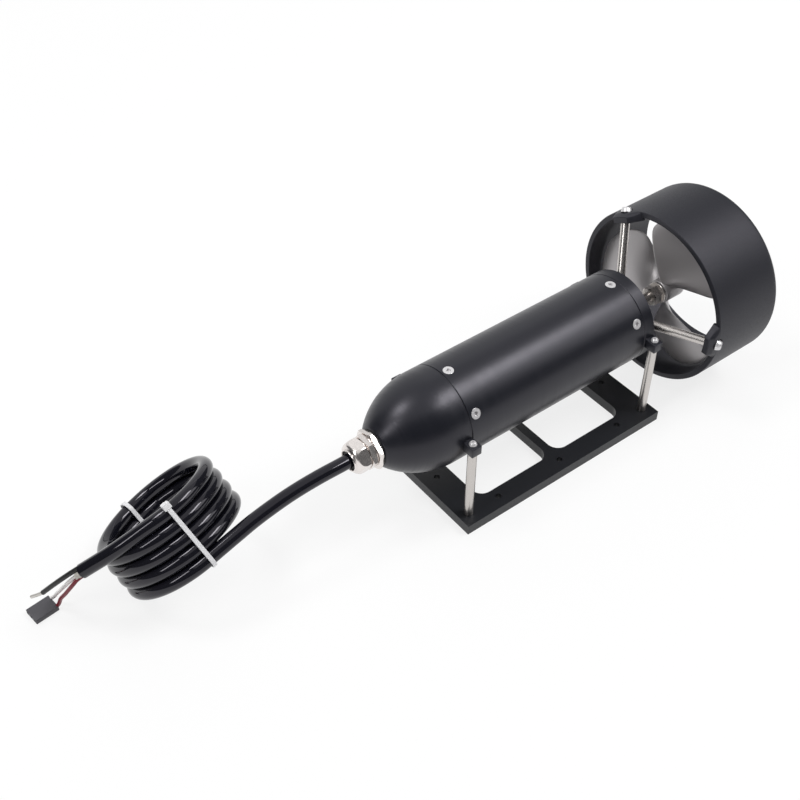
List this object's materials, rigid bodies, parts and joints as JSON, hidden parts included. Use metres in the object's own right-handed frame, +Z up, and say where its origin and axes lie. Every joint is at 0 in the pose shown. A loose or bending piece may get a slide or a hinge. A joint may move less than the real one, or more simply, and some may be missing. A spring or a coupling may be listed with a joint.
{
  "type": "ducted underwater thruster",
  "caption": "Black anodised underwater thruster: tubular motor housing on a windowed base plate, ducted steel propeller on slanted struts, and a coiled lead from a nickel gland.",
  "frame": {"origin": "centre of the base plate's underside, on the web between its two windows", "axes": "+X aft along the shaft to the propeller, +Z up away from the mounting face, +Y to port of the shaft when looking aft from the gland"},
  "size_m": [0.3335, 0.1004, 0.0865],
  "materials": {
    "black_anodised": "satin black anodised",
    "stainless": "drawn and machined stainless steel",
    "polished_stainless": "polished cast stainless steel",
    "seal_rubber": "matt black",
    "machined_aluminium": "as machined",
    "bearing_steel": "ground steel",
    "copper_wire": "enamelled copper",
    "magnet": "nickel-plated magnet ring",
    "circuit_board": "green solder mask",
    "nickel_plate": "bright nickel plate",
    "cable_sheath": "glossy black sheath",
    "red_lead": "red insulation",
    "white_plastic": "white nylon",
    "grey_plastic": "dark grey"
  },
  "bodies": {
    "housing": {"base_plate": "black_anodised", "post_front_near": "stainless", "post_front_far": "stainless", "post_rear_near": "stainless", "post_rear_far": "stainless", "plate_screws": "stainless", "lug_screws": "stainless", "nose_cone": "black_anodised", "nose_o_ring": "seal_rubber", "nose_screws": "stainless", "motor_tube": "black_anodised", "tail_screws": "stainless", "tail_cap": "black_anodised", "tail_o_ring": "seal_rubber", "inner_shaft_seal": "seal_rubber", "outer_shaft_seal": "seal_rubber", "front_end_bell": "machined_aluminium", "rear_end_bell": "machined_aluminium", "motor_screws": "stainless", "stator_sleeve": "bearing_steel", "stator_core": "bearing_steel", "stator_windings": "copper_wire", "front_bearing": "bearing_steel", "rear_bearing": "bearing_steel", "controller_tray": "machined_aluminium", "controller_board": "circuit_board", "duct": "black_anodised", "strut_upper": "stainless", "strut_near": "stainless", "strut_lower": "stainless", "duct_screws": "stainless", "gland_washer": "seal_rubber", "gland_body": "nickel_plate", "gland_insert": "seal_rubber", "gland_cap": "nickel_plate", "cable": "cable_sheath", "cable_coil": "cable_sheath", "cable_end": "cable_sheath", "lead_black": "cable_sheath", "lead_red": "red_lead", "lead_white": "white_plastic", "connector": "grey_plastic", "near_cable_tie": "white_plastic", "far_cable_tie": "white_plastic"},
    "rotor": {"motor_shaft": "stainless", "rotor_core": "bearing_steel", "rotor_magnet": "magnet", "drive_collar": "stainless", "propeller": "polished_stainless", "propeller_nut": "stainless"}
  },
  "joints": [
    {"name": "propeller_spin", "type": "hinge", "parent": "housing", "child": "rotor", "pos_m": [0.085, 0, 0.045], "axis": [1, 0, 0], "continuous": true}
  ]
}
